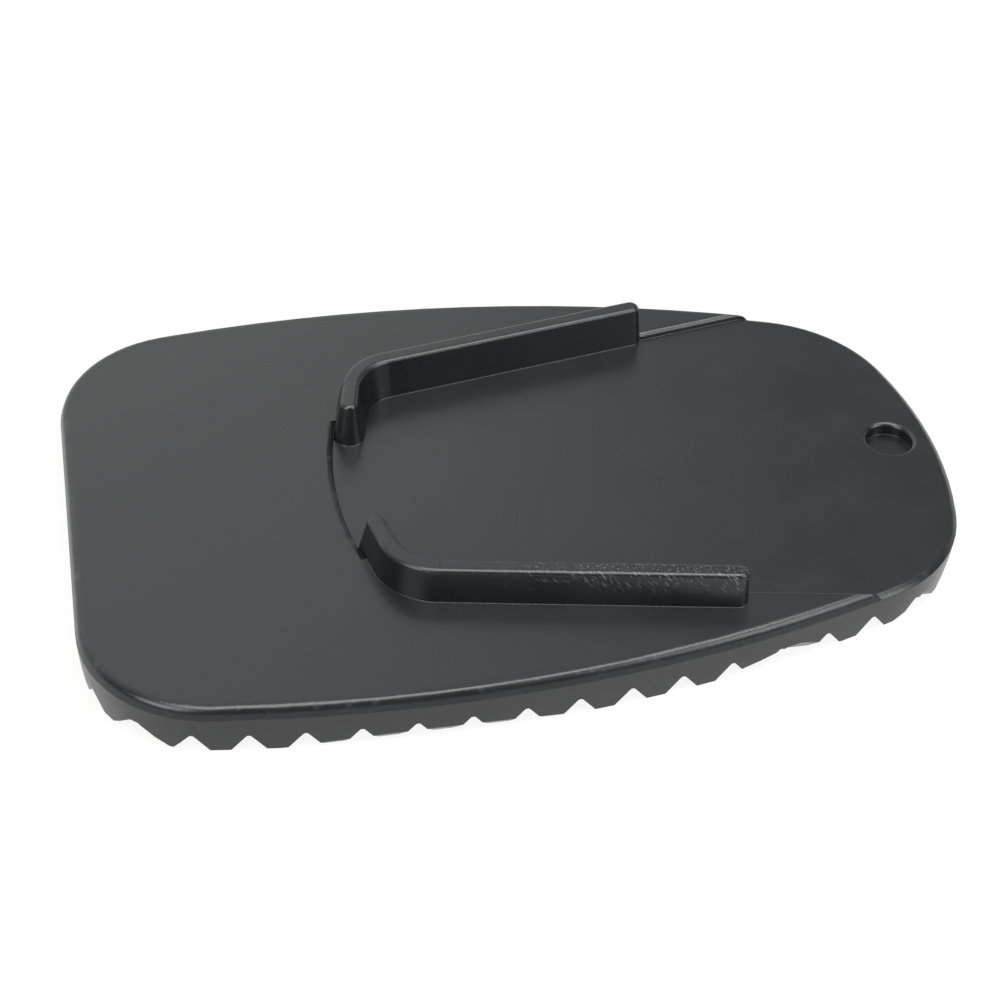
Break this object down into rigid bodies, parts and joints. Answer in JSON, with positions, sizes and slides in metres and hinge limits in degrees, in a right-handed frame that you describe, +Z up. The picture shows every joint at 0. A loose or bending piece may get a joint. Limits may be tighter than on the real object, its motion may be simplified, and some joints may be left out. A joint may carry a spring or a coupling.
{
  "type": "kickstand foot enlarger",
  "caption": "Moulded plate that spreads the load of a motorbike's side stand, with two guide ribs, a sunken pocket, a blind cord hole and a studded tread.",
  "frame": {"origin": "under the middle of the plate, on the plane that the tread stands on", "axes": "+X towards the narrow nose with the cord hole, +Y to one side, +Z up out of the pocket"},
  "size_m": [0.136, 0.091, 0.0134],
  "materials": {
    "moulding": "black moulded nylon with a fine satin grain"
  },
  "bodies": {
    "root": {"stand_pad": "moulding"}
  },
  "joints": []
}
